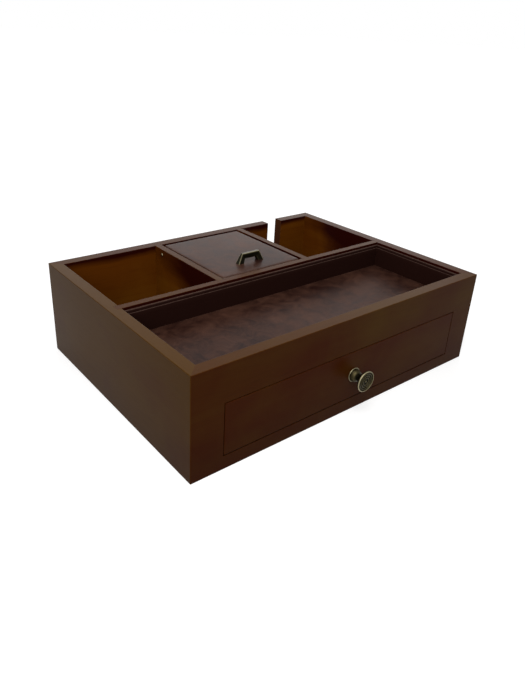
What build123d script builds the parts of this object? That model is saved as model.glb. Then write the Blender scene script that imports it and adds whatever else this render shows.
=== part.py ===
from build123d import *
import math
import os

# A valet box of lacquered wood. In front a lined tray lies over a drawer, and behind are
# three cells, the middle one under a lid that tips up on two pins.
# Millimetres. The front faces -Y and +Z is up.
# The origin is the middle of the footprint, on the face that the box rests on.

# Case: four mitred boards
case_width = 330.0
case_depth = 242.0
case_height = 91.0
wall_thickness = 11.0
corner_radius = 0.8             # upright corners of the case
arris_radius = 0.5              # eased edges of the lacquered boards
glue_gap = 0.05                 # left on each face of a groove or housing

# Base, let into a rabbet round the bottom of the case
base_thickness = 4.0
base_rabbet_width = 6.0
felt_thickness = 1.2
base_edge_gap = 0.2

# Dividers
tray_depth = 105.5              # front board to long divider
long_divider_thickness = 7.0
cell_divider_thickness = 7.2
wall_housing_depth = 4.0        # how far a divider is let into a case board
cell_housing_depth = 2.5        # how far a cell divider is let into the long divider

# Cable slot, open at the top of the back board, in the middle of the right cell
slot_width = 20.5
slot_bottom = 20.0

# Tray
shelf_thickness = 3.0
shelf_groove_depth = 3.0
tray_floor_thickness = 2.0
tray_floor_drop = 24.0          # rim to lined floor
ledge_thickness = 2.2
ledge_drop = 2.2                # rim to the ledge's top edge
lining_thickness = 1.0
lining_drop = 4.9               # rim to the lining's top edge
lining_edge_radius = 0.4
lining_gap = 0.2

# Loose pads on the floors of the cells
cell_pad_thickness = 1.5
cell_pad_gap = 0.5

# Rails and stiles of the front board round the drawer opening
stile_width = 28.7
bottom_rail_height = 12.0
shelf_rail_height = 3.0         # between the opening and the tray shelf's groove

# Drawer
drawer_face_gap = 0.8           # round the drawer front, in its opening
drawer_front_thickness = 11.0
drawer_side_thickness = 8.0
drawer_side_inset = 0.2         # the box is this much narrower, at each side, than its front
drawer_side_drop = 3.0          # the box is this much lower than its front
drawer_lap = 4.0                # wood left in front of a side, where it is let into the front
drawer_back_thickness = 8.0
drawer_back_housing = 4.0
drawer_bottom_thickness = 3.0
drawer_bottom_lift = 3.0        # under the bottom, down to the edge of the sides
drawer_groove_depth = 4.0
drawer_lining_thickness = 1.5
drawer_lift = 0.3               # running clearance over the runners
drawer_rear_gap = 0.5

# Runners, glued to the base and the case sides
runner_ledge_width = 9.0        # under a drawer side
runner_guide_height = 14.0      # beside a drawer side, over the ledge

# Knob, turned metal
knob_length = 14.3
knob_face_diameter = 20.2
knob_base_diameter = 14.8
knob_base_edge = 0.8
knob_base_length = 5.6
knob_neck_diameter = 6.8
knob_flare_length = 4.0         # from the straight neck out to the back of the face
knob_rim_height = 2.6           # edge of the face, back to front
knob_rim_width = 1.5
knob_rim_bevel = 0.5
knob_back_step = 1.1
knob_dish_depth = 0.9
ring_radii = (7.2, 5.2, 3.2)
ring_width = 1.1
ring_height = 0.6
centre_button_radius = 1.3

# Screw that holds the knob
knob_screw_diameter = 3.8
knob_screw_clearance = 0.1
knob_screw_depth = 8.0          # in the knob
screw_head_diameter = 8.0
screw_head_height = 2.4

# Lid over the middle cell
lid_board_thickness = 10.8
lid_cover_thickness = 0.8
lid_drop = 0.2                  # rim to lid
lid_side_gap = 2.4
lid_front_gap = 2.3
lid_rear_gap = 2.3
lid_edge_radius = 0.7
lid_rest_depth = 6.0
lid_rest_height = 7.0
lid_rest_clearance = 0.3

# Pivot pins of the lid
pivot_setback = 12.7            # back board to pivot axis
pin_diameter = 3.0
pin_running_clearance = 0.08
pin_depth = 8.0                 # in the lid
pin_end_clearance = 0.8
pin_head_diameter = 4.0
pin_head_height = 0.7

# Handle on the lid, a square bar bent to an arch
handle_setback = 22.6           # long divider to the middle of the handle
handle_foot_span = 28.5
handle_top_span = 20.7
handle_rise = 9.8
handle_bar_thickness = 4.8
handle_bar_width = 5.6
handle_bend_radius = 0.9
handle_edge = 0.4
handle_screw_diameter = 1.8
handle_screw_depth = 2.5        # in the foot of the handle
handle_screw_head = 3.6

# Places that follow from the sizes
half_width = case_width / 2
half_depth = case_depth / 2
inner_x = half_width - wall_thickness
front_y = wall_thickness - half_depth
back_y = half_depth - wall_thickness
base_top = felt_thickness + base_thickness
divider_front_y = front_y + tray_depth
divider_back_y = divider_front_y + long_divider_thickness
cell_width = (2 * inner_x - 2 * cell_divider_thickness) / 3
cell_x = cell_width / 2
slot_x = inner_x - cell_width / 2
tray_floor_top = case_height - tray_floor_drop
shelf_top = tray_floor_top - tray_floor_thickness
shelf_bottom = shelf_top - shelf_thickness
opening_x = half_width - stile_width
opening_top = shelf_bottom - shelf_rail_height
drawer_bottom_z = bottom_rail_height + drawer_face_gap
drawer_top_z = opening_top - drawer_face_gap
box_top_z = drawer_top_z - drawer_side_drop
drawer_front_x = opening_x - drawer_face_gap
drawer_box_x = drawer_front_x - drawer_side_inset
drawer_back_y = divider_front_y - drawer_rear_gap
drawer_front_back_y = drawer_front_thickness - half_depth
knob_z = (bottom_rail_height + opening_top) / 2
panel_z = drawer_bottom_z + drawer_bottom_lift
runner_top = drawer_bottom_z - drawer_lift
lid_top = case_height - lid_drop
lid_bottom = lid_top - lid_cover_thickness - lid_board_thickness
lid_x = cell_x - lid_side_gap
lid_front_y = divider_back_y + lid_front_gap
lid_back_y = back_y - lid_rear_gap
pivot_y = back_y - pivot_setback
pivot_z = (lid_top + lid_bottom) / 2
handle_y = divider_back_y + handle_setback


def block(x_span, y_span, z_span):
    """A block between two corners, each span a pair (low, high)."""
    low, high = zip(x_span, y_span, z_span)
    size = [h - l for l, h in zip(low, high)]
    middle = [(h + l) / 2 for l, h in zip(low, high)]
    return Pos(*middle) * Box(*size)


def grown(span, amount):
    """The span with amount more at both ends."""
    return (span[0] - amount, span[1] + amount)


def eased(solid, axis, radius, level=-1):
    """Rounds the edges along one axis at the top of the solid, or at another level."""
    edges = solid.edges().filter_by(axis).group_by(Axis.Z)[level]
    return fillet(edges, radius)


def mitred_board(run, offset, section):
    """A board along X, its outer face at Y = -offset, cut at 45 degrees at both ends."""
    size = section.bounding_box().size
    stock = extrude(Plane.YZ * Pos(-offset, 0) * section, run / 2, both=True)
    inner_end = run / 2 - size.X
    plan = Polygon(
        (-run / 2, -offset),
        (run / 2, -offset),
        (inner_end, size.X - offset),
        (-inner_end, size.X - offset),
        align=None,
    )
    return stock & extrude(plan, case_height)


def mitred_ring(width, depth, section):
    """Four mitred boards round a rectangle, by the side on which they stand."""
    runs = {"front": (width, depth), "right": (depth, width), "back": (width, depth), "left": (depth, width)}
    return {
        side: Rot(0, 0, 90 * turn) * mitred_board(run, across / 2, section)
        for turn, (side, (run, across)) in enumerate(runs.items())
    }


def case_section():
    """Upright section of a case board: U from its outer face, V from the resting face."""
    section = Pos(wall_thickness / 2, case_height / 2) * Rectangle(wall_thickness, case_height)
    corners = section.vertices().group_by(Axis.Y)
    section = fillet(corners[-1] + corners[0].sort_by(Axis.X)[:1], arris_radius)
    rabbet = Pos(wall_thickness, 0) * Rectangle(2 * base_rabbet_width, 2 * base_top)
    return section - rabbet


def card_section(thickness, low, high):
    """Upright section of a board that lines the tray, its top edge eased."""
    section = Pos(thickness / 2, (low + high) / 2) * Rectangle(thickness, high - low)
    radius = min(lining_edge_radius, 0.45 * thickness)
    return fillet(section.vertices().group_by(Axis.Y)[-1], radius)


def long_divider_block(gap):
    ends = (-inner_x - wall_housing_depth - gap, inner_x + wall_housing_depth + gap)
    return block(ends, grown((divider_front_y, divider_back_y), gap), (base_top, case_height))


def cell_divider_block(side, gap):
    middle = side * (cell_x + cell_divider_thickness / 2)
    across = grown((middle - cell_divider_thickness / 2, middle + cell_divider_thickness / 2), gap)
    along = grown((divider_back_y - cell_housing_depth, back_y + wall_housing_depth), gap)
    return block(across, along, (base_top, case_height))


def shelf_block(gap):
    reach = shelf_groove_depth + gap
    across = grown((-inner_x, inner_x), reach)
    along = grown((front_y, divider_front_y), reach)
    return block(across, along, grown((shelf_bottom, shelf_top), gap))


def case_boards():
    footprint = extrude(RectangleRounded(case_width, case_depth, corner_radius), case_height)
    boards = {
        side: board & footprint
        for side, board in mitred_ring(case_width, case_depth, case_section()).items()
    }
    opening_y = grown((-half_depth, front_y), 1)
    boards["front"] -= block((-opening_x, opening_x), opening_y, (bottom_rail_height, opening_top))
    slot_span = (slot_x - slot_width / 2, slot_x + slot_width / 2)
    boards["back"] -= block(slot_span, grown((back_y, half_depth), 1), (slot_bottom, case_height + 1))
    for side in ("front", "left", "right"):
        boards[side] -= shelf_block(glue_gap)
    for side in ("left", "right"):
        boards[side] -= long_divider_block(glue_gap)
    for side in (-1, 1):
        boards["back"] -= cell_divider_block(side, glue_gap)
    return {
        "front_board": boards["front"],
        "right_side_board": boards["right"],
        "back_board": boards["back"],
        "left_side_board": boards["left"],
    }


def base_parts():
    rabbet_x = inner_x + base_rabbet_width - base_edge_gap
    rabbet_y = back_y + base_rabbet_width - base_edge_gap
    across, along = (-rabbet_x, rabbet_x), (-rabbet_y, rabbet_y)
    return {
        "base_panel": block(across, along, (felt_thickness, base_top)),
        "base_felt": block(across, along, (0, felt_thickness)),
    }


def pin_hole(side):
    """Hole for a pivot pin, right through a cell divider."""
    length = 4 * cell_divider_thickness
    hole = Cylinder(pin_diameter / 2 + glue_gap, length, rotation=(0, 90, 0))
    return Pos(side * cell_x, pivot_y, pivot_z) * hole


def dividers():
    long_divider = eased(long_divider_block(0), Axis.X, arris_radius)
    long_divider -= shelf_block(glue_gap)
    parts = {"long_divider": long_divider}
    for side, name in ((-1, "left"), (1, "right")):
        divider = eased(cell_divider_block(side, 0), Axis.Y, arris_radius)
        parts["long_divider"] -= cell_divider_block(side, glue_gap)
        parts[name + "_cell_divider"] = divider - pin_hole(side)
    return parts


def tray_parts():
    """Shelf, lined floor, and two layers of boards round the walls of the tray."""
    middle_y = (front_y + divider_front_y) / 2
    parts = {"tray_shelf": shelf_block(0)}
    layers = (
        ("tray_ledge_", 0, ledge_thickness, ledge_drop),
        ("tray_lining_", ledge_thickness, lining_thickness, lining_drop),
    )
    for prefix, inset, thickness, drop in layers:
        section = card_section(thickness, shelf_top, case_height - drop)
        ring = mitred_ring(2 * (inner_x - inset), tray_depth - 2 * inset, section)
        for side, board in ring.items():
            parts[prefix + side] = Pos(0, middle_y, 0) * board
    inset = ledge_thickness + lining_thickness + lining_gap
    across = grown((-inner_x, inner_x), -inset)
    along = grown((front_y, divider_front_y), -inset)
    floor = block(across, along, (shelf_top, tray_floor_top))
    parts["tray_floor"] = fillet(floor.edges().group_by(Axis.Z)[-1], lining_edge_radius)
    return parts


def cell_pads():
    parts = {}
    along = grown((divider_back_y, back_y), -cell_pad_gap)
    pitch = cell_width + cell_divider_thickness
    for place, name in ((-1, "left"), (0, "middle"), (1, "right")):
        centre = place * pitch
        across = grown((centre - cell_x, centre + cell_x), -cell_pad_gap)
        pad = block(across, along, (base_top, base_top + cell_pad_thickness))
        parts[name + "_cell_pad"] = fillet(pad.edges().group_by(Axis.Z)[-1], lining_edge_radius)
    return parts


def runners():
    """L-shaped runners: a ledge under each drawer side and a guide beside it."""
    parts = {}
    ledge_end = opening_x - runner_ledge_width
    for side, name in ((-1, "left"), (1, "right")):
        outline = Polygon(
            (side * inner_x, base_top),
            (side * ledge_end, base_top),
            (side * ledge_end, runner_top),
            (side * opening_x, runner_top),
            (side * opening_x, runner_top + runner_guide_height),
            (side * inner_x, runner_top + runner_guide_height),
            align=None,
        )
        runner = extrude(Plane.XZ * outline, divider_front_y - front_y, dir=(0, 1, 0))
        parts[name + "_runner"] = Pos(0, front_y, 0) * runner
    return parts


def drawer_panel(gap):
    """The drawer's bottom, with its edges in the grooves of the box."""
    inner = drawer_box_x - drawer_side_thickness + drawer_groove_depth
    across = grown((-inner, inner), gap)
    front_end = drawer_front_back_y - drawer_groove_depth
    back_end = drawer_back_y - drawer_back_thickness + drawer_groove_depth
    z_span = grown((panel_z, panel_z + drawer_bottom_thickness), gap)
    return block(across, grown((front_end, back_end), gap), z_span)


def drawer_side_block(side, gap):
    inner = drawer_box_x - drawer_side_thickness - gap
    across = sorted((side * inner, side * (drawer_front_x + 1 if gap else drawer_box_x)))
    top = drawer_top_z + 1 if gap else box_top_z
    bottom = drawer_bottom_z - 1 if gap else drawer_bottom_z
    return block(across, (drawer_lap - half_depth - gap, drawer_back_y), (bottom, top))


def drawer_back_block(gap):
    reach = drawer_box_x - drawer_side_thickness + drawer_back_housing
    along = (drawer_back_y - drawer_back_thickness - gap, drawer_back_y + gap)
    return block(grown((-reach, reach), gap), along, (drawer_bottom_z - gap, box_top_z + gap))


def knob_bore():
    radius = knob_screw_diameter / 2 + knob_screw_clearance
    length = drawer_front_thickness + knob_screw_depth + knob_screw_clearance
    bore = Cylinder(radius, length, rotation=(90, 0, 0))
    return Pos(0, drawer_front_back_y - length / 2, knob_z) * bore


def drawer_parts():
    front = block(
        (-drawer_front_x, drawer_front_x),
        (-half_depth, drawer_front_back_y),
        (drawer_bottom_z, drawer_top_z),
    )
    front = fillet(front.edges().group_by(Axis.Y)[0], arris_radius)
    parts = {}
    for side, name in ((-1, "left"), (1, "right")):
        front -= drawer_side_block(side, glue_gap)
        box_side = eased(drawer_side_block(side, 0), Axis.Y, arris_radius)
        parts["drawer_side_" + name] = box_side - drawer_back_block(glue_gap) - drawer_panel(glue_gap)
    back = eased(drawer_back_block(0), Axis.X, arris_radius)
    inner = drawer_box_x - drawer_side_thickness - cell_pad_gap
    along = grown((drawer_front_back_y, drawer_back_y - drawer_back_thickness), -cell_pad_gap)
    lining_bottom = panel_z + drawer_bottom_thickness
    lining = block((-inner, inner), along, (lining_bottom, lining_bottom + drawer_lining_thickness))
    parts["drawer_front"] = front - drawer_panel(glue_gap) - knob_bore()
    parts["drawer_back"] = back - drawer_panel(glue_gap)
    parts["drawer_bottom"] = drawer_panel(0)
    parts["drawer_lining"] = fillet(lining.edges().group_by(Axis.Z)[-1], lining_edge_radius)
    return parts


def knob():
    """Domed foot, slim neck with a flare, and a dished face with a raised rim and three rings."""
    face_radius = knob_face_diameter / 2
    base_radius = knob_base_diameter / 2
    neck_radius = knob_neck_diameter / 2
    back_radius = face_radius - knob_back_step
    rim_back = knob_length - knob_rim_height
    dish = knob_length - knob_dish_depth
    foot = Line((0, 0), (base_radius, 0)) + Line((base_radius, 0), (base_radius, knob_base_edge))
    # The dome is part of a sphere, its centre on the knob's axis
    rise = knob_base_length**2 - knob_base_edge**2 + neck_radius**2 - base_radius**2
    centre = rise / (knob_base_length - knob_base_edge) / 2
    dome_radius = math.hypot(base_radius, knob_base_edge - centre)
    dome = RadiusArc((base_radius, knob_base_edge), (neck_radius, knob_base_length), -dome_radius)
    outer = [
        (neck_radius, knob_base_length),
        (neck_radius, rim_back - knob_flare_length),
        (back_radius, rim_back),
        (face_radius, rim_back + knob_back_step),
        (face_radius, knob_length - knob_rim_bevel),
        (face_radius - knob_rim_bevel, knob_length),
    ]
    # Raised parts of the face, from the rim inwards: each a wall up, a top and a wall down
    raised = [(radius + ring_width / 2, radius - ring_width / 2) for radius in ring_radii]
    raised.append((centre_button_radius, 0))
    top = dish + ring_height
    inner = [(face_radius - knob_rim_width, knob_length), (face_radius - knob_rim_width, dish)]
    for outside, inside in raised:
        inner += [(outside, dish), (outside, top), (inside, top), (inside, dish)]
    outline = make_face(foot + dome + Polyline(*outer, *inner, (0, 0)))
    turned = revolve(Plane.XY * outline, Axis.Y)
    return Pos(0, -half_depth, knob_z) * Rot(180, 0, 0) * turned - knob_bore()


def knob_screw():
    shank_length = drawer_front_thickness + knob_screw_depth
    shank = Cylinder(knob_screw_diameter / 2, shank_length, rotation=(90, 0, 0))
    head = Cylinder(screw_head_diameter / 2, screw_head_height, rotation=(90, 0, 0))
    head = chamfer(head.edges().group_by(Axis.Y)[-1], screw_head_height / 3)
    screw = Pos(0, -shank_length / 2, 0) * shank + Pos(0, screw_head_height / 2, 0) * head
    return Pos(0, drawer_front_back_y, knob_z) * screw


def lid_outline(gap):
    """The lid less the thickness of its cover, or the whole lid with no gap."""
    across = grown((-lid_x, lid_x), -gap)
    return block(across, grown((lid_front_y, lid_back_y), -gap), (lid_bottom, lid_top - gap))


def lid_bores():
    """Blind bores for the pivot pins and countersunk holes for the handle's screws."""
    depth = pin_depth + lid_side_gap + pin_end_clearance
    bore = Cylinder(pin_diameter / 2 + pin_running_clearance, depth, rotation=(0, 90, 0))
    return [Pos(side * (cell_x - depth / 2), pivot_y, pivot_z) * bore for side in (-1, 1)]


def handle_screws(gap):
    """Two countersunk screws from under the lid into the feet of the handle."""
    slope = (handle_foot_span - handle_top_span) / 2 / handle_rise
    leg = handle_bar_thickness * math.hypot(1, slope)
    screw_x = handle_foot_span / 2 - leg / 2 - slope * handle_screw_depth / 2
    length = lid_top - lid_bottom + handle_screw_depth
    radius, head_radius = handle_screw_diameter / 2 + gap, handle_screw_head / 2 + gap
    cone_height = head_radius - radius
    shank = Pos(0, 0, length / 2) * Cylinder(radius, length)
    head = Pos(0, 0, cone_height / 2) * Cone(head_radius, radius, cone_height)
    screw = shank + head
    return [Pos(side * screw_x, handle_y, lid_bottom) * screw for side in (-1, 1)]


def lid_parts():
    board = lid_outline(lid_cover_thickness)
    cover = fillet(lid_outline(0).edges().group_by(Axis.Z)[-1], lid_edge_radius)
    cover -= lid_outline(lid_cover_thickness)
    cutters = lid_bores() + handle_screws(glue_gap)
    return {
        "lid_board": board - cutters,
        "lid_cover": cover - cutters,
        "lid_handle": handle() - handle_screws(glue_gap),
        "handle_screws": Compound(children=handle_screws(0)),
    }


def handle():
    """Arch of square bar: level top, sloping legs, flat feet."""
    foot_x, top_x = handle_foot_span / 2, handle_top_span / 2
    slope = (foot_x - top_x) / handle_rise
    leg = handle_bar_thickness * math.hypot(1, slope)
    inner_z = handle_rise - handle_bar_thickness
    outline = Polygon(
        (-foot_x, 0),
        (-top_x, handle_rise),
        (top_x, handle_rise),
        (foot_x, 0),
        (foot_x - leg, 0),
        (foot_x - leg - slope * inner_z, inner_z),
        (leg + slope * inner_z - foot_x, inner_z),
        (leg - foot_x, 0),
        align=None,
    )
    bends = outline.vertices().filter_by(lambda corner: corner.Y > inner_z / 2)
    outline = fillet(bends, handle_bend_radius)
    arch = extrude(Plane.XZ * outline, handle_bar_width / 2, both=True)
    rims = arch.edges().group_by(Axis.Y)
    arch = chamfer(rims[0] + rims[-1], handle_edge)
    return Pos(0, handle_y, lid_top) * arch


def pivot_pins():
    """Two headed pins, driven through the cell dividers from the outer cells."""
    pins = []
    for side in (-1, 1):
        outer = cell_x + cell_divider_thickness
        inner = lid_x - pin_depth
        shank = Cylinder(pin_diameter / 2, outer - inner, rotation=(0, 90, 0))
        head = Cylinder(pin_head_diameter / 2, pin_head_height, rotation=(0, 90, 0))
        pin = Pos((outer + inner) / 2, 0, 0) * shank + Pos(outer + pin_head_height / 2, 0, 0) * head
        pins.append(Pos(0, pivot_y, pivot_z) * Rot(0, 0, 0 if side > 0 else 180) * pin)
    return Compound(children=pins)


def lid_rest():
    """Cleat under the front edge of the lid, its lower edge cut away at 45 degrees."""
    top = lid_bottom - lid_rest_clearance
    across = grown((-cell_x, cell_x), -glue_gap)
    cleat = block(across, (divider_back_y, divider_back_y + lid_rest_depth), (top - lid_rest_height, top))
    lower = cleat.edges().filter_by(Axis.X).group_by(Axis.Z)[0].sort_by(Axis.Y)[-1]
    return chamfer(lower, lid_rest_depth / 2)


parts = {
    **case_boards(),
    **base_parts(),
    **dividers(),
    **tray_parts(),
    **cell_pads(),
    **runners(),
    **drawer_parts(),
    **lid_parts(),
    "drawer_knob": knob(),
    "knob_screw": knob_screw(),
    "pivot_pins": pivot_pins(),
    "lid_rest": lid_rest(),
}

os.makedirs("parts", exist_ok=True)
for name, part in parts.items():
    export_step(part, f"parts/{name}.step")
print(len(parts), "parts written")
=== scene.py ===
import math

import bmesh
import bpy
from mathutils import Matrix, Vector, noise


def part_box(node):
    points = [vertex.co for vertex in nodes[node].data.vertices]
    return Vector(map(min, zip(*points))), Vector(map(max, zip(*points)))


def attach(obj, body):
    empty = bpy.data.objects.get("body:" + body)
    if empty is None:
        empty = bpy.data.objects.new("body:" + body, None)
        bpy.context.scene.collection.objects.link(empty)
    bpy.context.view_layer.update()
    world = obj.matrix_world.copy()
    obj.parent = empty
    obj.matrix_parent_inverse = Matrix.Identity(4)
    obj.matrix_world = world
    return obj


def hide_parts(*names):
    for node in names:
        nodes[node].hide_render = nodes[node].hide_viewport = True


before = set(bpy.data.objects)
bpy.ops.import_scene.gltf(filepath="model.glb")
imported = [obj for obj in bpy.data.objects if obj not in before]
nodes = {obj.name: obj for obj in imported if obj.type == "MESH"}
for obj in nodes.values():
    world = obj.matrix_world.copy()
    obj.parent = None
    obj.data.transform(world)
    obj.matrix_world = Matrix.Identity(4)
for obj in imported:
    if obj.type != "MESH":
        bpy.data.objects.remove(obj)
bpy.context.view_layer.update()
mm = 0.001
print("stage 1: solids loaded", len(nodes))


class Wire:  # a socket that takes part in sums
    def __init__(self, bench, socket):
        self.bench = bench
        self.socket = socket

    def maths(self, operation, first, second):
        return self.bench.add("ShaderNodeMath", {"operation": operation}, {0: first, 1: second})

    def __add__(self, other):
        return self.maths("ADD", self, other)

    def __sub__(self, other):
        return self.maths("SUBTRACT", self, other)

    def __rsub__(self, other):
        return self.maths("SUBTRACT", other, self)

    def __mul__(self, other):
        return self.maths("MULTIPLY", self, other)

    def __gt__(self, other):
        return self.maths("GREATER_THAN", self, other)

    def __lt__(self, other):
        return self.maths("LESS_THAN", self, other)

    def __abs__(self):
        return self.maths("ABSOLUTE", self, 0)

    __radd__ = __add__
    __rmul__ = __mul__


class Bench:  # where the nodes of one tree are put together
    def __init__(self, tree):
        self.tree = tree

    def join(self, node, inputs):
        for key, value in inputs.items():
            if isinstance(value, Wire):
                self.tree.links.new(value.socket, node.inputs[key])
            else:
                node.inputs[key].default_value = value

    def add(self, kind, settings, inputs, output=0):
        node = self.tree.nodes.new(kind)
        for key, value in settings.items():
            if key == "stops":  # a ramp's stops, place by grey
                for element, (place, grey) in zip(node.color_ramp.elements, value.items()):
                    element.position = place
                    element.color = (grey, grey, grey, 1)
            else:
                setattr(node, key, value)
        self.join(node, inputs)
        return Wire(self, node.outputs[output])

    def spot(self):  # the point on the piece, in metres
        return self.add("ShaderNodeTexCoord", {}, {}, "Object")

    def stretched(self, stretch, shift=(0, 0, 0)):
        settings = {"operation": "MULTIPLY_ADD"}
        return self.add("ShaderNodeVectorMath", settings, {0: self.spot(), 1: stretch, 2: shift})

    def cloud(self, spot, scale, detail=3.0, rough=0.5, twist=0.0):
        inputs = {"Vector": spot, "Scale": scale, "Detail": detail, "Roughness": rough, "Distortion": twist}
        return self.add("ShaderNodeTexNoise", {}, inputs)

    def ramp(self, factor, low, high):  # 0 under low, 1 over high
        return self.add("ShaderNodeValToRGB", {"stops": {low: 0, high: 1}}, {0: factor})

    def mix(self, factor, first, second):
        return self.add("ShaderNodeMix", {"data_type": "RGBA"}, {0: factor, 6: first, 7: second}, 2)

    def bump(self, height, strength, distance):
        inputs = {"Height": height, "Strength": strength, "Distance": distance}
        return self.add("ShaderNodeBump", {}, inputs)

    def seen(self):  # 1 for the rays that the camera sees, straight, mirrored or through glass
        kinds = ("Is Camera Ray", "Is Glossy Ray", "Is Transmission Ray")
        camera, gloss, glass = (self.add("ShaderNodeLightPath", {}, {}, kind) for kind in kinds)
        settings = {"operation": "ADD", "use_clamp": True}
        return self.add("ShaderNodeMath", settings, {0: camera + gloss, 1: glass})


class Finish(Bench):  # a material with its one shader
    def __init__(self, name, fixed):
        self.material = bpy.data.materials.new(name)
        self.material.use_nodes = True
        super().__init__(self.material.node_tree)
        self.shader = self.tree.nodes["Principled BSDF"]
        self.join(self.shader, fixed)

    def feed(self, inputs):
        self.join(self.shader, inputs)
        return self.material


def rgb(red, green, blue):
    return (red, green, blue, 1.0)


lacquer = {
    "brown": rgb(0.065, 0.0280, 0.0042),
    "red": rgb(0.049, 0.0108, 0.0020),
    "pore": rgb(0.014, 0.0035, 0.0008),
    "amber": rgb(0.100, 0.0260, 0.0015),    # the cells' walls, where the stain is thin
    "honey": rgb(0.165, 0.0600, 0.0040),    # and thinnest
    "shadeRed": rgb(0.021, 0.0022, 0.0010),     # painted shade: deep red inside under the rim and at the foot
    "along": 5.0,       # waves of the figure per metre, down the board
    "across": 60.0,     # and across it
    "poreAlong": 40.0,
    "poreAcross": 1500.0,
    "stainScale": 13.0,     # clouds of stain per metre
    "peelScale": 330.0,     # orange peel of the spray
    "footShadeDepth": 20.0,      # how fast the painted shade at the foot fades upwards, per metre
    "footShadeShare": 0.3,
    "roughness": 0.30,
    "reflection": 0.0175,
}
inside = {  # the open space of the case
    "x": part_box("right_side_board")[0].x,
    "opening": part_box("front_board")[0].y,
    "front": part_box("tray_ledge_front")[0].y,
    "cells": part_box("long_divider")[1].y,
    "back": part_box("back_board")[0].y,
    "rim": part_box("back_board")[1].z,
}


def woodStretch(axis, along, across):
    stretch = [across] * 3
    stretch[axis] = along
    return stretch


def spotParts(finish):
    spot = finish.spot()
    return [finish.add("ShaderNodeSeparateXYZ", {}, {0: spot}, part) for part in ("X", "Y", "Z")]


def lacqueredWood(name, axis, seed, brownnessAndLight, inCells=True):
    finish = Finish(name, {"Specular IOR Level": lacquer["reflection"]})
    shift = (seed * 1.7, seed * 2.3, seed * 3.1)
    figurePlace = finish.stretched(woodStretch(axis, lacquer["along"], lacquer["across"]), shift)
    porePlace = finish.stretched(woodStretch(axis, lacquer["poreAlong"], lacquer["poreAcross"]), shift)
    plainPlace = finish.stretched((1, 1, 1), shift)
    figure = finish.cloud(figurePlace, 1.0, 3.0, 0.5, 0.3)
    pores = finish.cloud(porePlace, 1.0, 2.0, 0.6)
    stain = finish.cloud(plainPlace, lacquer["stainScale"], 3.0, 0.5, 0.3)
    peel = finish.cloud(plainPlace, lacquer["peelScale"], 1.0)
    warmth = stain * 1.5 + figure * 0.5 + (brownnessAndLight - 1.0)
    tone = finish.mix(finish.ramp(warmth, 0.2, 0.85), lacquer["red"], lacquer["brown"])
    height = spotParts(finish)[2]
    # painted shade: the boards are painted darker towards the floor, in the shade red
    rise = height * lacquer["footShadeDepth"] + (stain - 0.5) * 0.8
    foot = 1 - finish.ramp(rise, 0.1, 0.8)  # painted shade: darker towards the foot, where the floor shades the board
    tone = finish.mix(foot * lacquer["footShadeShare"], tone, lacquer["shadeRed"])
    # painted light: the rim tops turn brown by the board's share, most on the left and front boards
    rimTopLight = height > inside["rim"] - 0.2 * mm
    tone = finish.mix(rimTopLight * brownnessAndLight, tone, lacquer["brown"])
    if inCells:
        tone = insideStainAndShade(finish, tone, axis, stain * 0.9 + figure * 0.5 - 0.7)
    tone = finish.mix(finish.ramp(pores, 0.55, 0.8) * 0.28, tone, lacquer["pore"])
    normal = finish.bump(pores * 0.5 + peel * 0.6, 0.04, 0.0003)
    roughness = lacquer["roughness"] + (stain - 0.5) * 0.12 + pores * 0.04
    return finish.feed({"Base Color": tone, "Roughness": roughness, "Normal": normal})


innerStainAndShade = {  # how the stain and the painted shade lie inside the case
    "margin": 0.5 * mm,
    "gapShadeDepth": 2 * mm,       # the painted shade in the gap round the drawer begins this far under the rim
    "gapShadeShare": 0.95,
    "sideFade": 0.060,          # metres down a side over which it turns from painted shade red to amber
    "sideLength": 0.11,         # and from the tray to the back
    "sideStart": 0.40,
    "crossFade": 0.011,         # metres down the other walls
    "goldDepth": 6.0,
}


def insideStainAndShade(finish, tone, axis, drift):  # painted shade, deep red under the rim; amber down in the cells
    x, y, z = spotParts(finish)
    margin = innerStainAndShade["margin"]
    if not axis:  # painted shade on the faces of the opening round the drawer, in the pores' dark
        gapShade = (y > inside["opening"] + margin) * (y < inside["front"] - margin)
        gapShade = gapShade * (z < inside["rim"] - innerStainAndShade["gapShadeDepth"])
        tone = finish.mix(gapShade * innerStainAndShade["gapShadeShare"], tone, lacquer["pore"])
    walls = (abs(x) < inside["x"] + margin) * (y > inside["front"] - margin)
    walls = walls * (y < inside["back"] + margin)
    walls = walls * (z < inside["rim"] - 0.1 * mm)
    depth = inside["rim"] - z
    if axis:  # the painted shade on the dividers and sides reaches further down towards the front
        back = (y - inside["cells"]) * (1 / innerStainAndShade["sideLength"])
        reach = depth * (1 / innerStainAndShade["sideFade"]) + back - innerStainAndShade["sideStart"]
    else:
        reach = depth * (1 / innerStainAndShade["crossFade"])
    outOfShade = finish.ramp(reach + drift, 0.25, 0.8) * (y > inside["cells"] - margin)
    golden = finish.ramp(drift + depth * innerStainAndShade["goldDepth"], 0.1, 0.75)
    gold = finish.mix(golden, lacquer["amber"], lacquer["honey"])
    # painted shade: shade red near the rim, amber and honey further down the cells
    return finish.mix(walls, tone, finish.mix(outOfShade, lacquer["shadeRed"], gold))


innerTone = {
    "dark": rgb(0.050, 0.020, 0.008),
    "light": rgb(0.100, 0.043, 0.017),
    "pore": rgb(0.020, 0.008, 0.003),
    "roughness": 0.52,
}


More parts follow.
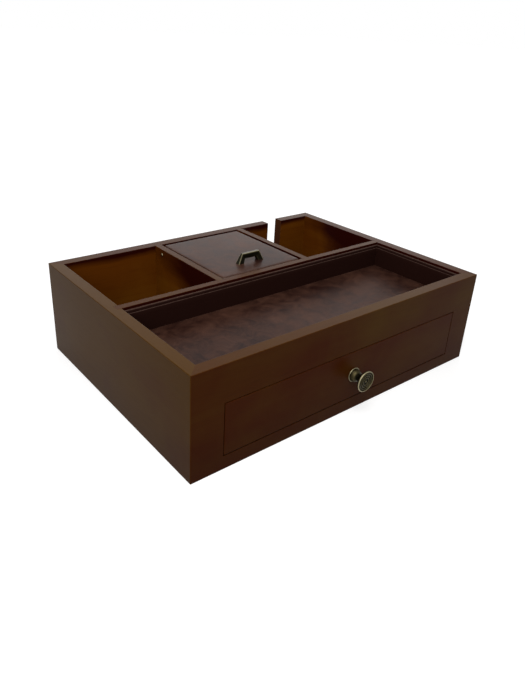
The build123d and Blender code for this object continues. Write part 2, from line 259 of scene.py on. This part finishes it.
def innerWood(name, axis, seed):
    finish = Finish(name, {"Specular IOR Level": 0.3})
    shift = (seed * 2.1, seed * 1.3, seed * 0.7)
    figure = finish.cloud(finish.stretched(woodStretch(axis, 9.0, 160.0), shift), 1.0, 4.0, 0.6, 0.8)
    pores = finish.cloud(finish.stretched(woodStretch(axis, 60.0, 1500.0), shift), 1.0, 2.0, 0.6)
    tone = finish.mix(finish.ramp(figure, 0.3, 0.75), innerTone["dark"], innerTone["light"])
    tone = finish.mix(finish.ramp(pores, 0.58, 0.72) * 0.4, tone, innerTone["pore"])
    normal = finish.bump(figure * 0.4 + pores, 0.15, 0.0004)
    roughness = innerTone["roughness"] + (figure - 0.5) * 0.2
    return finish.feed({"Base Color": tone, "Roughness": roughness, "Normal": normal})


leather = {
    "dark": rgb(0.017, 0.0060, 0.0044),
    "light": rgb(0.076, 0.0340, 0.0220),
    "wornAndLit": rgb(0.170, 0.1050, 0.0800),     # painted highlight and wear along its turned edges
    "wornAndLitShare": 0.6,
    "mottleScale": 65.0,
    "pebble": 1500.0,   # grain cells per metre
    "roughness": 0.38,
    "reflection": 0.027,
}


def leatherette(name, seed, paleness):
    finish = Finish(name, {"Specular IOR Level": leather["reflection"]})
    spot = finish.stretched((1, 1, 1), (seed * 0.37, seed * 0.61, 0))
    mottle = finish.cloud(spot, leather["mottleScale"], 5.0, 0.62, 0.8)
    drift = finish.cloud(spot, 14.0, 2.0)
    inputs = {"Vector": spot, "Scale": leather["pebble"]}
    cells = finish.add("ShaderNodeTexVoronoi", {"feature": "F1"}, inputs)
    creases = finish.cloud(spot, 320.0, 3.0, 0.6, 1.5)
    factor = finish.ramp(mottle + drift * 0.6 + (paleness - 0.80), 0.25, 0.80)
    tone = finish.mix(factor, leather["dark"], leather["light"])
    wearAndHighlight = finish.add("ShaderNodeAttribute", {"attribute_name": "rubAndHighlight"}, {}, "Fac")
    # painted highlight and wear: a paler tone on the turned-over edges
    tone = finish.mix(wearAndHighlight * creases * leather["wornAndLitShare"], tone, leather["wornAndLit"])
    normal = finish.bump(cells * 0.5 + creases * 0.9 + mottle * 0.6, 0.16, 0.0003)
    roughness = leather["roughness"] + (mottle - 0.5) * 0.22
    return finish.feed({"Base Color": tone, "Roughness": roughness, "Normal": normal})


brass = {
    "recess": rgb(0.010, 0.0085, 0.0035),
    "middle": rgb(0.054, 0.0440, 0.0200),
    "rubbed": rgb(0.31, 0.27, 0.165),
    "roughness": 0.46,
}


def agedBrass(name):
    finish = Finish(name, {"Specular IOR Level": 0.5})
    spot = finish.spot()
    speckle = finish.cloud(spot, 900.0, 4.0, 0.65)
    tarnish = finish.cloud(spot, 240.0, 3.0, 0.5, 0.5)
    wearAndHighlight = finish.add("ShaderNodeAttribute", {"attribute_name": "rubAndHighlight"}, {}, "Fac")
    wornAndLit = finish.ramp(wearAndHighlight + (tarnish - 0.5) * 0.35, 0.15, 0.55)
    bright = finish.ramp(wearAndHighlight + (speckle - 0.5) * 0.3, 0.62, 0.95)
    tone = finish.mix(wornAndLit, brass["recess"], brass["middle"])
    tone = finish.mix(bright, tone, brass["rubbed"])
    normal = finish.bump(speckle + tarnish, 0.12, 0.00015)
    roughness = brass["roughness"] - bright * 0.16 + (speckle - 0.5) * 0.2
    metallic = 0.92 + wornAndLit * 0.08
    return finish.feed({"Base Color": tone, "Metallic": metallic, "Roughness": roughness, "Normal": normal})


felt = {
    "dark": rgb(0.010, 0.008, 0.008),
    "light": rgb(0.035, 0.029, 0.027),
    "fibres": 1800.0,   # per metre
    "roughness": 0.9,
}
steel = {
    "dull": rgb(0.38, 0.37, 0.34),
    "bright": rgb(0.62, 0.60, 0.55),
    "scuffs": 1300.0,
    "roughness": 0.25,
}


def darkFelt(name):
    finish = Finish(name, {"Specular IOR Level": 0.2, "Sheen Weight": 0.4, "Sheen Roughness": 0.5})
    spot = finish.spot()
    fibres = finish.cloud(spot, felt["fibres"], 4.0, 0.7, 2.5)
    patches = finish.cloud(spot, 60.0, 2.0)
    tone = finish.mix(finish.ramp(fibres, 0.35, 0.7), felt["dark"], felt["light"])
    normal = finish.bump(fibres + patches * 0.3, 0.5, 0.0006)
    roughness = felt["roughness"] + (patches - 0.5) * 0.1
    return finish.feed({"Base Color": tone, "Roughness": roughness, "Normal": normal})


def platedSteel(name):
    finish = Finish(name, {"Specular IOR Level": 0.5})
    scuffs = finish.cloud(finish.spot(), steel["scuffs"], 4.0, 0.6, 1.0)
    tone = finish.mix(scuffs, steel["dull"], steel["bright"])
    normal = finish.bump(scuffs, 0.1, 0.0001)
    roughness = steel["roughness"] + scuffs * 0.2
    return finish.feed({"Base Color": tone, "Metallic": 1.0, "Roughness": roughness, "Normal": normal})


boards = {  # grain, 0 along X and 1 along Y; how brown the stain came out, with painted light from the left and front (those boards lighter brown, the back and right darker red); whether it is a wall of the case
    "front_board": (0, 0.48),
    "back_board": (0, 0.2),
    "left_side_board": (1, 0.85),
    "right_side_board": (1, 0.2),
    "long_divider": (0, 0.3),
    "left_cell_divider": (1, 0.3),
    "right_cell_divider": (1, 0.3),
    "drawer_front": (0, 0.3),
    "lid_rest": (0, 0.3),
    "lid_board": (0, 0.4, False),
}
hiddenBoards = {
    "base_panel": (0,),
    "tray_shelf": (0,),
    "left_runner": (1,),
    "right_runner": (1,),
    "drawer_side_left": (1,),
    "drawer_side_right": (1,),
    "drawer_back": (0,),
    "drawer_bottom": (0,),
}


def finishBoards():
    for kind, finish in ((boards, lacqueredWood), (hiddenBoards, innerWood)):
        for seed, (node, (axis, *stain)) in enumerate(kind.items(), start=1):
            materials = nodes[node].data.materials
            materials.clear()
            materials.append(finish(node + "Wood", axis, seed, *stain))


finishBoards()
print("stage 2: boards finished")


def newPiece(name, build, material, node, body="case"):
    work = bmesh.new()
    work.verts.layers.float.new("rubAndHighlight")
    build(work)
    bmesh.ops.recalc_face_normals(work, faces=work.faces)
    mesh = bpy.data.meshes.new(name)
    work.to_mesh(mesh)
    work.free()
    mesh.polygons.foreach_set("use_smooth", [True] * len(mesh.polygons))
    mesh.set_sharp_from_angle(angle=math.radians(42))
    mesh.materials.append(material)
    piece = bpy.data.objects.new(name, mesh)
    bpy.context.collection.objects.link(piece)
    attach(piece, body)
    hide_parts(node)
    return piece


def gridFaces(work, grid):
    for first, second in zip(grid, grid[1:]):
        for index in range(len(first) - 1):
            work.faces.new((first[index], second[index], second[index + 1], first[index + 1]))


def gridBorder(grid):  # the vertices round a grid, in order
    right = [row[-1] for row in grid[:-1]]
    left = [row[0] for row in grid[:0:-1]]
    return grid[0][:-1] + right + grid[-1][:0:-1] + left


def bandFaces(work, first, second):  # a band between two closed loops
    for index in range(len(first)):
        following = (index + 1) % len(first)
        work.faces.new((first[index], first[following], second[following], second[index]))


def edgePlaces(low, high, radius, step):  # closer together where the edge is rolled over
    rolled = [radius * (1 - math.cos(math.radians(turn))) for turn in (0, 22.5, 45, 67.5, 90)]
    flat = high - low - 2 * radius
    cells = max(1, round(flat / step))
    level = [low + radius + flat * cell / cells for cell in range(1, cells)]
    return [low + gap for gap in rolled] + level + [high - gap for gap in reversed(rolled)]


def padForm(work, low, high, form, seed, closed=True):
    radius = form["edge"] * mm
    rubAndHighlight = work.verts.layers.float["rubAndHighlight"]

    def place(x, y):  # the plan corner is rounded, and the edge rolled over
        inner = Vector((
            min(max(x, low.x + radius), high.x - radius),
            min(max(y, low.y + radius), high.y - radius),
        ))
        out = Vector((x, y)) - inner
        reach = min(out.length, radius)
        if out.length > radius:
            out *= radius / out.length
        across = 2 * (x - low.x) / (high.x - low.x) - 1
        along = 2 * (y - low.y) / (high.y - low.y) - 1
        crown = 1 - (1 - across**form["square"]) * (1 - along**form["square"])
        ripple = noise.noise(Vector((x, y, seed * 0.1)) / (form["ripple"] * mm))
        drop = radius - math.sqrt(radius**2 - reach**2)
        drop += form["crown"] * mm * crown + form["wave"] * mm * (1 - ripple) / 2 * (1 - reach / radius)
        return inner.x + out.x, inner.y + out.y, high.z - drop, reach / radius

    def topVert(x, y):
        *spot, turned = place(x, y)
        vert = work.verts.new(spot)
        # painted highlight and wear grow towards the rolled edge
        vert[rubAndHighlight] = turned
        return vert

    columns = edgePlaces(low.x, high.x, radius, form["step"] * mm)
    rows = edgePlaces(low.y, high.y, radius, form["step"] * mm)
    top = [[topVert(x, y) for y in rows] for x in columns]
    gridFaces(work, top)
    rim = gridBorder(top)
    if closed:
        bottom = [[work.verts.new((*place(x, y)[:2], low.z)) for y in rows] for x in columns]
        gridFaces(work, bottom)
        foot = gridBorder(bottom)
    else:
        foot = [work.verts.new((vert.co.x, vert.co.y, low.z)) for vert in rim]
    bandFaces(work, rim, foot)


pads = {
    "trayFloor": {"edge": 0.7, "crown": 0.12, "square": 8, "wave": 0.22, "ripple": 26.0, "step": 3.0},
    "cellPad": {"edge": 0.6, "crown": 0.25, "square": 6, "wave": 0.15, "ripple": 22.0, "step": 3.5},
    "drawerLining": {"edge": 0.6, "crown": 0.15, "square": 8, "wave": 0.15, "ripple": 24.0, "step": 3.5},
    "baseFelt": {"edge": 0.4, "crown": 0.0, "square": 8, "wave": 0.05, "ripple": 9.0, "step": 5.0},
}


def makePads():
    places = {
        "tray_floor": ("trayFloor", "case", 0.45),
        "left_cell_pad": ("cellPad", "case", 0.4),
        "middle_cell_pad": ("cellPad", "case", 0.4),
        "right_cell_pad": ("cellPad", "case", 0.4),
        "drawer_lining": ("drawerLining", "drawer", 0.45),
    }
    for seed, (node, (kind, body, paleness)) in enumerate(places.items(), start=1):
        low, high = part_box(node)
        piece = newPiece(
            node + "_leather",
            lambda work: padForm(work, low, high, pads[kind], seed),
            leatherette(node + "Leather", seed, paleness),
            node,
            body,
        )
    low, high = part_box("base_felt")
    newPiece(
        "base_felt_sheet",
        lambda work: padForm(work, low, high, pads["baseFelt"], 9),
        darkFelt("baseFelt"),
        "base_felt",
    )


makePads()
print("stage 3: pads and felt made")

cards = {
    "tray_ledge_": {"wall": 2.2, "outerEdge": 0.5, "innerEdge": 0.8, "wave": 0.03},
    "tray_lining_": {"wall": 1.0, "outerEdge": 0.3, "innerEdge": 0.45, "wave": 0.05},
}
cardShadePaleness = -0.05    # painted shade: the tray walls' leather darker than the floor's
cardSteps = {"along": 4.0, "down": 4.0, "ripple": 18.0}
cardSides = {  # which way each card runs, and which way it faces
    "front": (Vector((1, 0, 0)), Vector((0, 1, 0))),
    "right": (Vector((0, 1, 0)), Vector((-1, 0, 0))),
    "back": (Vector((-1, 0, 0)), Vector((0, -1, 0))),
    "left": (Vector((0, -1, 0)), Vector((1, 0, 0))),
}


def cardSection(form, height):  # depth from the wood, height, and wear with painted highlight, over the top from back to front
    wall = form["wall"] * mm
    section = [(0, 0, 0)]
    for edge, middle, turns in (
        (form["outerEdge"] * mm, form["outerEdge"] * mm, (180, 150, 120, 90)),
        (form["innerEdge"] * mm, wall - form["innerEdge"] * mm, (90, 60, 30, 0)),
    ):
        for turn in turns:
            angle = math.radians(turn)
            wornAndLit = math.sin(angle) ** 2
            section.append((middle + edge * math.cos(angle), height - edge + edge * math.sin(angle), wornAndLit))
    steps = round(height / (cardSteps["down"] * mm))
    drop = height - form["innerEdge"] * mm
    section += [(wall, drop * (1 - step / steps), 0) for step in range(1, steps)]
    return section + [(wall, 0, 0)]


def cardForm(work, node, side, form, seed):
    low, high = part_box(node)
    run, inward = cardSides[side]
    size = high - low
    length = abs(size.dot(run))
    wall = form["wall"] * mm
    rubAndHighlight = work.verts.layers.float["rubAndHighlight"]
    start = (low + high) / 2 - inward * abs(size.dot(inward)) / 2
    start.z = low.z
    section = cardSection(form, size.z)
    stations = round(length / (cardSteps["along"] * mm))
    loops = []
    for station in range(stations + 1):
        share = 2 * station / stations - 1
        loop = []
        for depth, height, wornAndLit in section:
            along = share * (length / 2 - depth)
            ripple = noise.noise(Vector((along, height, seed)) / (cardSteps["ripple"] * mm))
            shift = form["wave"] * mm * ripple * depth / wall
            vert = work.verts.new(start + run * along + inward * (depth + shift) + Vector((0, 0, height)))
            vert[rubAndHighlight] = wornAndLit
            loop.append(vert)
        loops.append(loop)
    for first, second in zip(loops, loops[1:]):
        bandFaces(work, first, second)
    work.faces.new(loops[0])
    work.faces.new(loops[-1])


def makeCards():
    for prefix, form in cards.items():
        for seed, side in enumerate(cardSides, start=len(prefix)):
            node = prefix + side
            newPiece(
                node + "_card",
                lambda work: cardForm(work, node, side, form, seed),
                # painted shade: the walls get the floor's leather, darker
                leatherette(node + "Leather", seed, cardShadePaleness),
                node,
            )


makeCards()
print("stage 4: tray cards made")

lidCover = {
    "paleness": 0.52, "skin": 0.75, "edge": 0.9, "crown": 0.18,
    "square": 10, "wave": 0.10, "ripple": 30.0, "step": 2.5,
}


def coverForm(work):
    low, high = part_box("lid_cover")
    padForm(work, low, high, lidCover, 7, closed=False)
    bmesh.ops.recalc_face_normals(work, faces=work.faces)
    bmesh.ops.solidify(work, geom=work.faces[:], thickness=lidCover["skin"] * mm)


lidLeather = leatherette("lidLeather", 7, lidCover["paleness"])
newPiece("lid_cover_leather", coverForm, lidLeather, "lid_cover", "lid")
print("stage 5: lid cover made")


def latheForm(work, profile, turn, segments=64):  # profile: distance along the axis, radius, rub
    rubAndHighlight = work.verts.layers.float["rubAndHighlight"]
    rings = []
    for along, radius, wornAndLit in profile:
        count = segments if radius else 1
        ring = []
        for index in range(count):
            angle = 2 * math.pi * index / segments
            spot = Vector((radius * math.cos(angle), radius * math.sin(angle), along)) * mm
            vert = work.verts.new(turn @ spot)
            vert[rubAndHighlight] = wornAndLit
            ring.append(vert)
        rings.append(ring)
    for first, second in zip(rings, rings[1:]):
        for index in range(segments):
            corners = [
                first[index % len(first)],
                first[(index + 1) % len(first)],
                second[(index + 1) % len(second)],
                second[index % len(second)],
            ]
            work.faces.new(list(dict.fromkeys(corners)))
    return rings


knob = {
    "footRadius": 6.5, "footEdge": 0.8, "domeEnd": 5.6, "neckRadius": 3.2, "flareLength": 4.6,
    "backRadius": 8.6, "rimHeight": 2.6, "faceRadius": 9.5, "rimWidth": 1.1, "dishDepth": 1.15,
    "rings": (7.1, 5.2, 3.3), "ringWidth": 1.2, "ringHeight": 0.85, "buttonRadius": 1.6,
}


def knobProfile(length):
    rimBack, dish = length - knob["rimHeight"], length - knob["dishDepth"]
    flareStart = rimBack - knob["flareLength"]
    points = [(0, 0, 0), (0, knob["footRadius"] - 0.3, 0.2)]
    for turn in (-90, -45, 0, 45, 90):  # the rolled edge of the foot
        angle = math.radians(turn)
        half = knob["footEdge"] / 2
        reach = knob["footRadius"] - half + half * math.cos(angle)
        points.append((half + half * math.sin(angle), reach, 0.85))
    points += [
        (knob["footEdge"] + 0.02, knob["footRadius"] - 0.75, 0.0),
        (knob["footEdge"] + 0.30, knob["footRadius"] - 0.80, 0.3),
    ]
    start, end = knob["footEdge"] + 0.3, knob["domeEnd"]
    for step in range(1, 10):  # the dome, a quarter ellipse
        angle = math.radians(80 * step / 9)
        reach = knob["neckRadius"] + (knob["footRadius"] - 0.8 - knob["neckRadius"]) * math.cos(angle)
        points.append((start + (end - start) * math.sin(angle), reach, 0.72 - 0.05 * step))
    points += [(end + 0.3, knob["neckRadius"], 0.1), (flareStart, knob["neckRadius"], 0.05)]
    for step in range(1, 8):  # the neck opens to the back of the face
        angle = math.radians(90 * step / 8)
        reach = knob["backRadius"] - (knob["backRadius"] - knob["neckRadius"]) * math.cos(angle)
        points.append((flareStart + (rimBack - flareStart) * math.sin(angle), reach, 0.15))
    points += [
        (rimBack, knob["backRadius"] - 0.3, 0.3),
        (rimBack + 0.15, knob["backRadius"], 0.6),
        (rimBack + 0.45, knob["backRadius"] + 0.1, 0.5),
        (rimBack + 0.55, knob["faceRadius"] - 0.75, 0.05),
    ]
    middle, halfWidth = knob["faceRadius"] - knob["rimWidth"] / 2, knob["rimWidth"] / 2
    halfHeight = (length - rimBack - 0.7) / 2
    for turn in range(-70, 181, 25):  # the bead of the rim
        angle = math.radians(turn)
        along = length - halfHeight + halfHeight * math.sin(angle)
        rubAndHighlight = 0.45 + 0.45 * max(0, math.sin(angle + 0.5))
        points.append((along, middle + halfWidth * math.cos(angle), rubAndHighlight))
    points.append((dish, knob["faceRadius"] - knob["rimWidth"] - 0.15, 0.0))
    for ring in knob["rings"]:
        for step in range(7):
            angle = math.pi * step / 6
            reach = ring + knob["ringWidth"] / 2 * math.cos(angle)
            height = knob["ringHeight"] * math.sin(angle)
            points.append((dish + height, reach, 0.62 * math.sin(angle) ** 2))
    for step in range(4):
        angle = math.radians(90 * step / 3)
        height = knob["ringHeight"] * math.sin(angle)
        points.append((dish + height, knob["buttonRadius"] * math.cos(angle) * 0.9, 0.7 * math.sin(angle)))
    points[-1] = (dish + knob["ringHeight"], 0, 0.7)
    return points


def facing(origin, direction):  # local Z along the direction
    turn = Vector(direction).to_track_quat("Z", "Y").to_matrix().to_4x4()
    return Matrix.Translation(origin) @ turn


def knobForm(work):
    low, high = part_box("drawer_knob")
    origin = Vector(((low.x + high.x) / 2, high.y, (low.z + high.z) / 2))
    latheForm(work, knobProfile((high.y - low.y) / mm), facing(origin, (0, -1, 0)), 96)


handle = {
    "bar": 5.7, "topWidth": 2.9, "topSpan": 20.9, "footFlare": 1.0,
    "bend": 0.7, "edge": 0.4, "bendSteps": 5, "wearAndHighlight": 0.42,
}


def bendPoints(corner, before, after, radius, steps):  # a rounded corner in the XZ plane
    into = (corner - before).normalized()
    away = (after - corner).normalized()
    half = into.angle(away) / 2
    setback = radius * math.tan(half)
    start, end = corner - into * setback, corner + away * setback
    points = []
    for step in range(steps + 1):
        share = step / steps
        straight = start.lerp(corner, share).lerp(corner.lerp(end, share), share)
        points.append(straight)
    return points


def handleForm(work):
    rubAndHighlight = work.verts.layers.float["rubAndHighlight"]
    low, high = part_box("lid_handle")
    size = (high - low) / mm
    foot, rise = size.x / 2 + handle["footFlare"], size.z
    top, bar = handle["topSpan"] / 2, handle["bar"]
    slope = (foot - top) / rise
    leg = bar * math.hypot(1, slope)
    under = rise - bar
    outer = [Vector(point) for point in ((-foot, 0), (-top, rise), (top, rise), (foot, 0))]
    reach = foot - leg - slope * under
    inner = [Vector(point) for point in ((leg - foot, 0), (-reach, under), (reach, under), (foot - leg, 0))]
    paths = []
    for corners in (inner, outer):
        path = [corners[0]]
        path += [corners[0].lerp(corners[1], share) for share in (0.12, 0.5, 0.85)]
        path += bendPoints(corners[1], corners[0], corners[2], handle["bend"], handle["bendSteps"])
        path += [corners[1].lerp(corners[2], share) for share in (0.25, 0.5, 0.75)]
        path += bendPoints(corners[2], corners[1], corners[3], handle["bend"], handle["bendSteps"])
        path += [corners[2].lerp(corners[3], share) for share in (0.15, 0.5, 0.88)]
        paths.append(path + [corners[3]])
    middle = (low + high) / 2
    loops = []
    for innerPoint, outerPoint in zip(*paths):
        loop = []
        width = size.y + (handle["topWidth"] - size.y) * outerPoint.y / rise  # the legs taper upwards
        for depth, across, wornAndLit in handleSection(bar, width):
            spot = innerPoint.lerp(outerPoint, depth)
            vert = work.verts.new(
                Vector((middle.x, middle.y + across * mm, low.z)) + Vector((spot.x, 0, spot.y)) * mm
            )
            vert[rubAndHighlight] = wornAndLit * handle["wearAndHighlight"] * (1 + depth)  # more on the outer side
            loop.append(vert)
        loops.append(loop)
    for first, second in zip(loops, loops[1:]):
        bandFaces(work, first, second)
    work.faces.new(loops[0])
    work.faces.new(loops[-1])


def handleSection(bar, width):  # depth as a share of the bar, place across, rub, round the bar
    edge = handle["edge"]
    section = []
    for signDepth, signAcross, begin in ((1, 1, 0), (-1, 1, 90), (-1, -1, 180), (1, -1, 270)):
        for turn in (0, 45, 90):
            angle = math.radians(begin + turn)
            depth = signDepth * (bar / 2 - edge) + edge * math.cos(angle)
            across = signAcross * (width / 2 - edge) + edge * math.sin(angle)
            section.append((depth / bar + 0.5, across, 1.0))
        angle = math.radians(begin + 90)
        side = Vector((math.cos(angle), math.sin(angle)))
        along = Vector((-side.y, side.x))
        reach = width / 2
        for share in (0.62, 0.0, -0.62):  # worn only near the edges
            point = side * (bar if abs(side.x) > 0.5 else width) / 2 - along * share * reach
            section.append((point.x / bar + 0.5, point.y, 0.05))
    return section


def crossOutline(arm, width):  # a plus sign, twelve corners
    corner = [Vector((arm, -width)), Vector((arm, width)), Vector((width, width))]
    outline = []
    for quarter in range(4):
        turn = Matrix.Rotation(math.radians(90 * quarter), 2)
        outline += [turn @ point for point in corner]
    return outline


def screwForm(work, profile, recess, turn):
    rings = latheForm(work, profile, turn, 48)
    top = profile[-1][0]
    loops = []
    for depth, share in ((0, 1.0), (recess["depth"], 0.55)):
        outline = crossOutline(recess["arm"] * share, recess["width"] * share)
        spots = [Vector((point.x, point.y, top - depth)) * mm for point in outline]
        loops.append([work.verts.new(turn @ spot) for spot in spots])
    edges = []
    for loop in (rings[-1], loops[0]):
        for first, second in zip(loop, loop[1:] + loop[:1]):
            edges.append(work.edges.get((first, second)) or work.edges.new((first, second)))
    bmesh.ops.triangle_fill(work, edges=edges, use_beauty=True)
    bandFaces(work, loops[0], loops[1])
    work.faces.new(loops[1])


knobScrew = {"shank": 1.9, "head": 4.0, "headHeight": 2.4, "crown": 2.6}
knobRecess = {"arm": 1.9, "width": 0.42, "depth": 1.3}
handleScrew = {"shank": 0.9, "head": 1.8}
handleRecess = {"arm": 1.15, "width": 0.24, "depth": 0.7}


def knobScrewForm(work):
    low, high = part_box("knob_screw")
    origin = Vector(((low.x + high.x) / 2, low.y, (low.z + high.z) / 2))
    length = (high.y - low.y) / mm
    under = length - knobScrew["headHeight"]
    profile = [
        (0, 0, 0),
        (0, knobScrew["shank"] - 0.4, 0),
        (0.4, knobScrew["shank"], 0),
        (under, knobScrew["shank"], 0),
        (under, knobScrew["head"] - 0.15, 0),
        (under + 0.15, knobScrew["head"], 0),
    ]
    for step in range(5):
        angle = math.radians(90 * step / 4)
        reach = knobScrew["crown"] + (knobScrew["head"] - knobScrew["crown"]) * math.cos(angle)
        rise = (knobScrew["headHeight"] - 0.5) * math.sin(angle)
        profile.append((under + 0.5 + rise, reach, 0))
    screwForm(work, profile, knobRecess, facing(origin, (0, 1, 0)))


def handleScrewForm(work):
    low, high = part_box("handle_screws")
    length = (high.z - low.z) / mm
    cone = handleScrew["head"] - handleScrew["shank"]
    profile = [
        (0, 0, 0),
        (0, handleScrew["shank"] - 0.25, 0),
        (0.25, handleScrew["shank"], 0),
        (length - cone, handleScrew["shank"], 0),
        (length, handleScrew["head"], 0),
        (length, handleScrew["head"] - 0.2, 0),
    ]
    for x in (low.x + handleScrew["head"] * mm, high.x - handleScrew["head"] * mm):
        origin = Vector((x, (low.y + high.y) / 2, high.z))
        screwForm(work, profile, handleRecess, facing(origin, (0, 0, -1)))


pin = {"shank": 1.5, "head": 2.0, "headHeight": 0.7}


def pinForm(work):
    low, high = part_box("pivot_pins")
    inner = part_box("lid_cover")[1].x
    middle = (low + high) / 2
    length = (high.x - inner) / mm + 8.0
    under = length - pin["headHeight"]
    profile = [
        (0, 0, 0.2),
        (0, pin["shank"] - 0.3, 0.3),
        (0.3, pin["shank"], 0.3),
        (under, pin["shank"], 0.3),
        (under, pin["head"] - 0.1, 0.3),
        (under + 0.1, pin["head"], 0.9),
    ]
    for step in range(1, 5):
        angle = math.radians(90 * step / 4)
        reach = pin["head"] * math.cos(angle) if step < 4 else 0
        profile.append((under + 0.1 + (pin["headHeight"] - 0.1) * math.sin(angle), reach, 0.95))
    for side in (-1, 1):
        origin = Vector((side * (high.x - length * mm), middle.y, middle.z))
        latheForm(work, profile, facing(origin, (side, 0, 0)), 40)


metalPieces = {
    "knob_turned": (knobForm, "drawer_knob", "aged_brass", "drawer"),
    "handle_arch": (handleForm, "lid_handle", "aged_brass", "lid"),
    "knob_screw_head": (knobScrewForm, "knob_screw", "steel", "drawer"),
    "handle_screw_pair": (handleScrewForm, "handle_screws", "steel", "lid"),
    "pivot_pin_pair": (pinForm, "pivot_pins", "aged_brass", "case"),
}


def makeMetal():
    for name, (form, node, slot, body) in metalPieces.items():
        finish = agedBrass if slot == "aged_brass" else platedSteel
        newPiece(name, form, finish(node + "Metal"), node, body)


makeMetal()
print("stage 6: metal pieces made")

room = {
    "floorSize": 30.0,      # metres
    "floorSeen": rgb(0.66, 0.66, 0.66),  # the pale floor, as eye and gloss see it, before its glow
    "floorGlow": rgb(0.50, 0.50, 0.50),
    "farGlow": rgb(0.76, 0.76, 0.76),    # where the lamps no longer reach
    "farFrom": 0.8,         # metres from the middle of the floor
    "farTo": 2.0,
    "farSpan": 5.0,         # the length that the ramp stands for
    "floorFelt": rgb(0.20, 0.19, 0.18),  # how pale the floor is to the object
    "worldSeen": 1.0,
    "worldFelt": 0.42,
}
lamps = {
    "key": {"place": (-0.90, -0.65, 0.80), "size": 0.7, "power": 5.4},
    "top": {"place": (-0.30, -0.36, 0.85), "size": 0.5, "power": 4.0},
    "back": {"place": (0.95, 1.20, 0.75), "size": 1.6, "power": 12.5},
}


def makeRoom():
    world = bpy.data.worlds.new("studio")
    bpy.context.scene.world = world
    world.use_nodes = True
    bench = Bench(world.node_tree)
    strength = room["worldFelt"] + bench.seen() * (room["worldSeen"] - room["worldFelt"])
    bench.join(world.node_tree.nodes["Background"], {"Color": rgb(1, 1, 1), "Strength": strength})
    paper = Finish("paper", {"Roughness": 1.0, "Specular IOR Level": 0.0, "Emission Strength": 1.0})
    seen = paper.seen()
    inputs = {"Vector": paper.spot()}
    distance = paper.add("ShaderNodeVectorMath", {"operation": "LENGTH"}, inputs, "Value")
    share = 1 / room["farSpan"]
    far = paper.ramp(distance * share, room["farFrom"] * share, room["farTo"] * share)
    glow = paper.mix(far, room["floorGlow"], room["farGlow"])
    paper.feed({
        "Base Color": paper.mix(seen, room["floorFelt"], room["floorSeen"]),
        "Emission Color": paper.mix(seen, rgb(0, 0, 0), glow),
    })
    half = room["floorSize"] / 2
    mesh = bpy.data.meshes.new("floor")
    corners = [(-half, -half, 0), (half, -half, 0), (half, half, 0), (-half, half, 0)]
    mesh.from_pydata(corners, [], [(0, 1, 2, 3)])
    mesh.materials.append(paper.material)
    floor = bpy.data.objects.new("floor", mesh)
    bpy.context.collection.objects.link(floor)


def makeLamps():
    for name, lamp in lamps.items():
        data = bpy.data.lights.new(name, "AREA")
        data.size = lamp["size"]
        data.energy = lamp["power"]
        piece = bpy.data.objects.new(name, data)
        piece.location = lamp["place"]
        piece.rotation_euler = (-Vector(lamp["place"])).to_track_quat("-Z", "Y").to_euler()
        bpy.context.collection.objects.link(piece)


view = {
    "place": (-0.3506, -0.4027, 0.3005),
    "azimuth": 38.927,      # degrees from +Y towards +X
    "elevation": 25.038,
    "roll": 2.518,
    "lens": 30.947,
    "shift": (0.02693, -0.06327),
}


def makeCamera():
    data = bpy.data.cameras.new("camera")
    data.lens = view["lens"]
    data.shift_x, data.shift_y = view["shift"]
    camera = bpy.data.objects.new("camera", data)
    turn = Matrix.Rotation(math.radians(-view["azimuth"]), 4, "Z")
    tilt = Matrix.Rotation(math.radians(90 - view["elevation"]), 4, "X")
    roll = Matrix.Rotation(math.radians(view["roll"]), 4, "Z")
    camera.matrix_world = Matrix.Translation(view["place"]) @ turn @ tilt @ roll
    bpy.context.collection.objects.link(camera)
    bpy.context.scene.camera = camera


makeRoom()
makeLamps()
makeCamera()
bpy.context.scene.view_settings.view_transform = "Standard"
print("stage 7: room, lamps and camera made")
